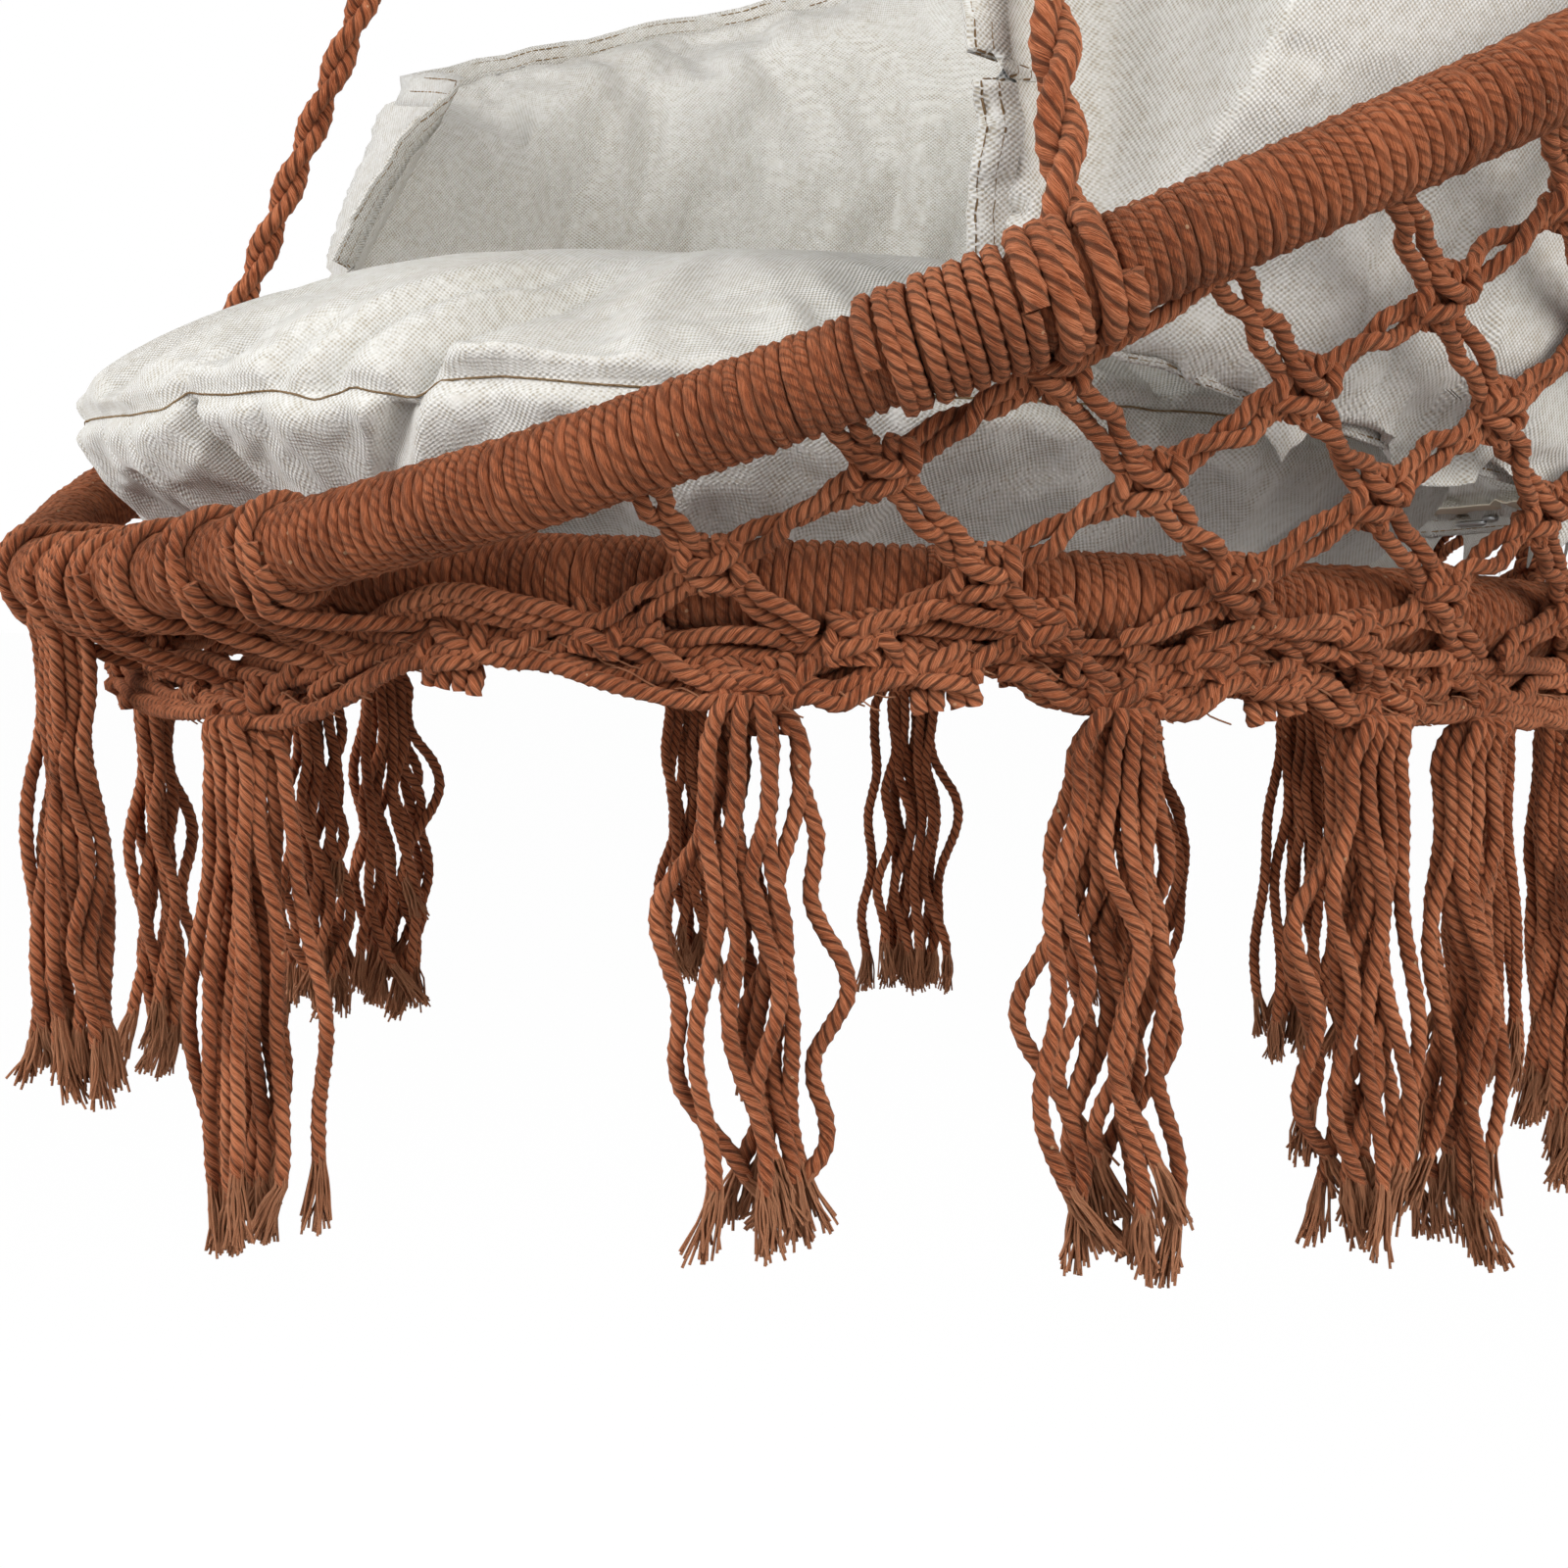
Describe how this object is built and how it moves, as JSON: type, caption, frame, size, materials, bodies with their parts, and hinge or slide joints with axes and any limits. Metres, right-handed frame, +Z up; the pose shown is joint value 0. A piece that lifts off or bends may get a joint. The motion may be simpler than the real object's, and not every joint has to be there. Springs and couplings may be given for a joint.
{
  "type": "hammock chair",
  "caption": "Hanging macrame chair: two cord-wrapped hoops, a knotted net, a tasselled fringe and two canvas cushions, hung on ropes from a steel ring.",
  "frame": {"origin": "where the hook bears, on the inside top of the hanging ring", "axes": "+Z up, -Y the way the sitter faces, +X to the sitter's left"},
  "size_m": [0.7998, 0.7333, 1.2173],
  "materials": {
    "ring_steel": "zinc plated, satin",
    "tube_steel": "black powder coat, hidden under the cord",
    "wrap_cord": "matte twisted cotton cord, wound close",
    "rope": "matte twisted cotton rope",
    "whipping_cord": "matte twisted cotton cord",
    "net_cord": "matte twisted cotton cord, knotted",
    "tassel_cord": "matte twisted cotton cord, frayed at its ends",
    "canvas": "undyed coarse cotton canvas, matte",
    "zip": "white woven tape with nylon teeth",
    "filling": "loose polyester fibre"
  },
  "bodies": {
    "root": {"hanging_ring": "ring_steel"},
    "chair": {"left_rope_loop": "rope", "right_rope_loop": "rope", "rope_front_left": "rope", "rope_front_right": "rope", "rope_rear_left": "rope", "rope_rear_right": "rope", "top_whipping": "whipping_cord", "whipping_front_left": "whipping_cord", "whipping_front_right": "whipping_cord", "whipping_rear_left": "whipping_cord", "whipping_rear_right": "whipping_cord", "lashing_right": "whipping_cord", "lashing_middle": "whipping_cord", "lashing_left": "whipping_cord", "back_hoop_tube": "tube_steel", "back_hoop_spigot": "tube_steel", "back_hoop_wrap": "wrap_cord", "side_net": "net_cord", "front_tassel": "tassel_cord"},
    "seat": {"seat_hoop_tube": "tube_steel", "seat_hoop_spigot": "tube_steel", "seat_hoop_wrap": "wrap_cord", "seat_net": "net_cord", "hem_net": "net_cord", "tassel_01": "tassel_cord", "tassel_02": "tassel_cord", "tassel_03": "tassel_cord", "tassel_04": "tassel_cord", "tassel_05": "tassel_cord", "tassel_06": "tassel_cord", "tassel_07": "tassel_cord", "tassel_08": "tassel_cord", "tassel_09": "tassel_cord", "tassel_10": "tassel_cord", "tassel_11": "tassel_cord", "tassel_12": "tassel_cord", "tassel_13": "tassel_cord", "tassel_14": "tassel_cord", "tassel_15": "tassel_cord"},
    "seat_cushion": {"seat_cushion_cover": "canvas", "seat_cushion_zip": "zip", "seat_cushion_filling": "filling"},
    "back_cushion": {"back_cushion_cover": "canvas", "back_cushion_zip": "zip", "back_cushion_filling": "filling"}
  },
  "joints": [
    {"name": "swing", "type": "hinge", "parent": "root", "child": "chair", "pos_m": [0, 0, -0.0565], "axis": [1, 0, 0], "range_deg": [-30, 30]},
    {"name": "seat_fold", "type": "hinge", "parent": "chair", "child": "seat", "pos_m": [0, -0.36134, -0.97467], "axis": [1, 0, 0], "range_deg": [0, 6], "deforming": ["side_net", "lashing_right", "lashing_middle", "lashing_left", "back_cushion_cover", "back_cushion_zip", "back_cushion_filling"]},
    {"name": "seat_cushion_lift", "type": "slide", "parent": "seat", "child": "seat_cushion", "axis": [0, 0.0427, 0.9991], "range_m": [0, 0.012]},
    {"name": "back_cushion_lift", "type": "slide", "parent": "seat_cushion", "child": "back_cushion", "axis": [0, 0.0427, 0.9991], "range_m": [0, 0.014]}
  ]
}
